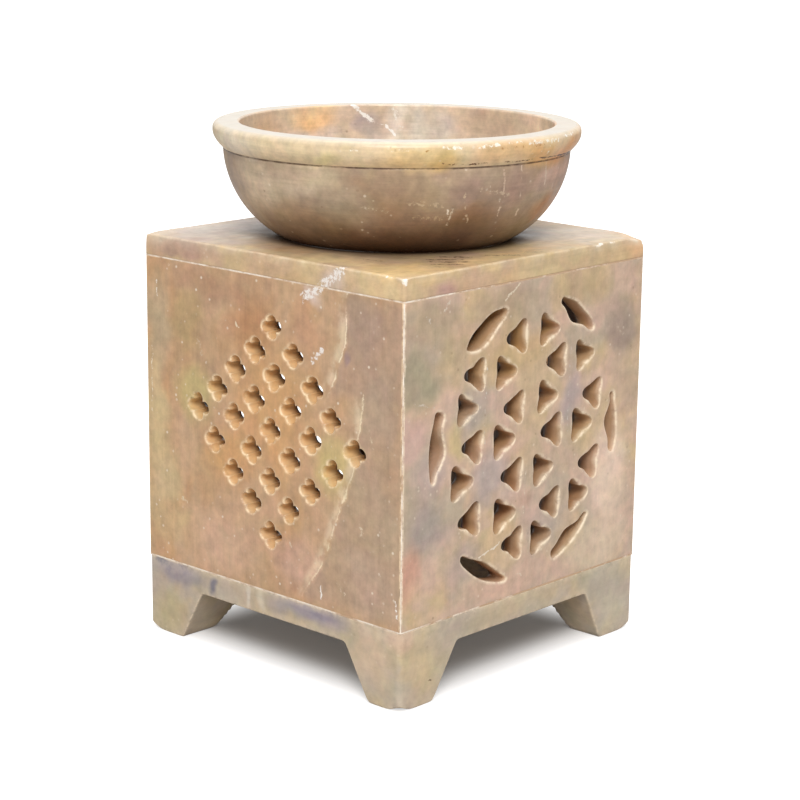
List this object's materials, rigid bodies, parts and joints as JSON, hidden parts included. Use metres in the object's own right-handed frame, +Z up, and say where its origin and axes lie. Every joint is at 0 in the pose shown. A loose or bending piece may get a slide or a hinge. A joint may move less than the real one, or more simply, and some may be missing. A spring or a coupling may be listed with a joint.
{
  "type": "incense burner",
  "caption": "Square pierced soapstone burner box on short tapered feet, fretwork walls and an arched back opening, with a loose round bowl set in its top slab.",
  "frame": {"origin": "bottom centre, on the surface the four feet stand on, under the middle of the box", "axes": "+Z up; -Y is the front with the roundel, +Y the back with the arch, -X and +X the two quatrefoil sides"},
  "size_m": [0.0786, 0.0786, 0.1135],
  "materials": {
    "base_soapstone": "honed, waxed, mottled olive and grey-violet",
    "front_soapstone": "honed, waxed, mottled grey-cream and lilac",
    "side_soapstone": "honed, waxed, pink-tan with fine saw streaks",
    "back_soapstone": "honed, waxed, tan",
    "slab_soapstone": "honed, waxed, yellow-tan",
    "bowl_soapstone": "turned, waxed, olive-brown with a cream rim",
    "cement": "matt, pale stone cement"
  },
  "bodies": {
    "burner_box": {"base_with_feet": "base_soapstone", "lower_cement_bed": "cement", "front_roundel_panel": "front_soapstone", "left_lattice_panel": "side_soapstone", "back_arch_panel": "back_soapstone", "right_lattice_panel": "side_soapstone", "front_left_corner_cement": "cement", "back_left_corner_cement": "cement", "back_right_corner_cement": "cement", "front_right_corner_cement": "cement", "upper_cement_bed": "cement", "top_slab": "slab_soapstone"},
    "bowl": {"loose_bowl": "bowl_soapstone"}
  },
  "joints": [
    {"name": "bowl_lift", "type": "slide", "parent": "burner_box", "child": "bowl", "axis": [0, 0, 1], "range_m": [0, 0.05]}
  ]
}
